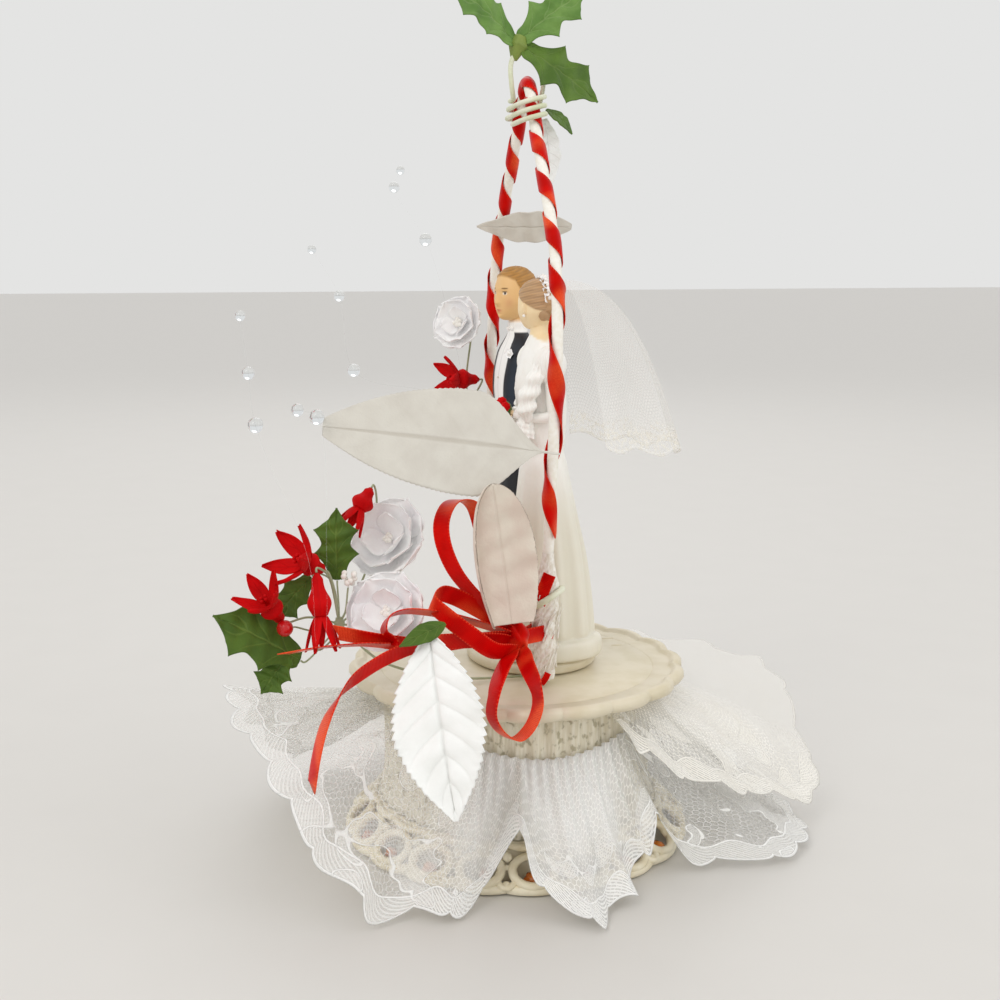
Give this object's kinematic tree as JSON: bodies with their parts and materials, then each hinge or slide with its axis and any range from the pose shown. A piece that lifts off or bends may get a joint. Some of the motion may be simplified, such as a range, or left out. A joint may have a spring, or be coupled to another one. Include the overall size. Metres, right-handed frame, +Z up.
{
  "type": "wedding cake topper",
  "caption": "Wedding cake topper: couple on a scalloped plate under a ribbon-wound arch, with holly, white leaves, red bow, dew drops and a lace ruffle.",
  "frame": {"origin": "middle of the flat underside of the base", "axes": "+Z up, -X is the way the couple looks, -Y is the side with the bow"},
  "size_m": [0.1887, 0.1544, 0.2458],
  "materials": {
    "ivory_plastic": "satin ivory moulding",
    "amber_glue": "glossy",
    "white_foam": "matte",
    "white_lace": "matte net",
    "sheer_tulle": "sheer net",
    "paper_wrap": "satin",
    "red_satin": "satin sheen",
    "pale_wire": "matte",
    "holly_green": "matte",
    "white_silk": "matte",
    "blush_silk": "matte",
    "painted_gown": "satin paint",
    "painted_suit": "satin paint",
    "red_silk": "matte",
    "red_gloss": "gloss",
    "pearl_plastic": "pearl",
    "green_wire": "matte",
    "clear_drop": "clear"
  },
  "bodies": {
    "root": {"filigree_base": "ivory_plastic", "glue_ring": "amber_glue", "foam_riser": "white_foam", "top_plate": "ivory_plastic", "lace_heading": "white_lace", "lace_ruffle": "white_lace", "tulle_overlay": "sheer_tulle", "couple_stand": "ivory_plastic", "arch_rod": "paper_wrap", "arch_red_ribbon": "red_satin", "foot_wrap": "paper_wrap", "tie_ring": "paper_wrap", "apex_tie_wire": "pale_wire", "holly_leaf_top_1": "holly_green", "holly_leaf_top_2": "holly_green", "holly_leaf_top_3": "holly_green", "holly_leaf_top_4": "holly_green", "white_leaf_apex": "white_silk", "white_leaf_far": "white_silk", "white_leaf_near": "white_silk", "white_leaf_hanging": "white_silk", "white_leaf_upright": "blush_silk", "green_leaf_bow": "holly_green", "red_bow": "red_satin", "bride_figure": "painted_gown", "bride_bouquet": "red_silk", "bride_headpiece": "white_silk", "bride_veil": "sheer_tulle", "groom_figure": "painted_suit", "red_flower_front_1": "red_silk", "red_flower_front_2": "red_silk", "red_flower_front_3": "red_silk", "red_flower_mid": "red_silk", "red_flower_far": "red_silk", "white_flower_front_1": "white_silk", "white_flower_front_2": "white_silk", "white_flower_far": "white_silk", "holly_leaf_front_1": "holly_green", "holly_leaf_front_2": "holly_green", "holly_leaf_front_3": "holly_green", "holly_berry": "red_gloss", "stamen_pearls": "pearl_plastic", "spray_stem": "green_wire", "far_spray_stem": "green_wire", "dew_spray_near_1": "clear_drop", "dew_spray_near_2": "clear_drop", "dew_spray_far_1": "clear_drop", "dew_spray_far_2": "clear_drop"}
  },
  "joints": []
}
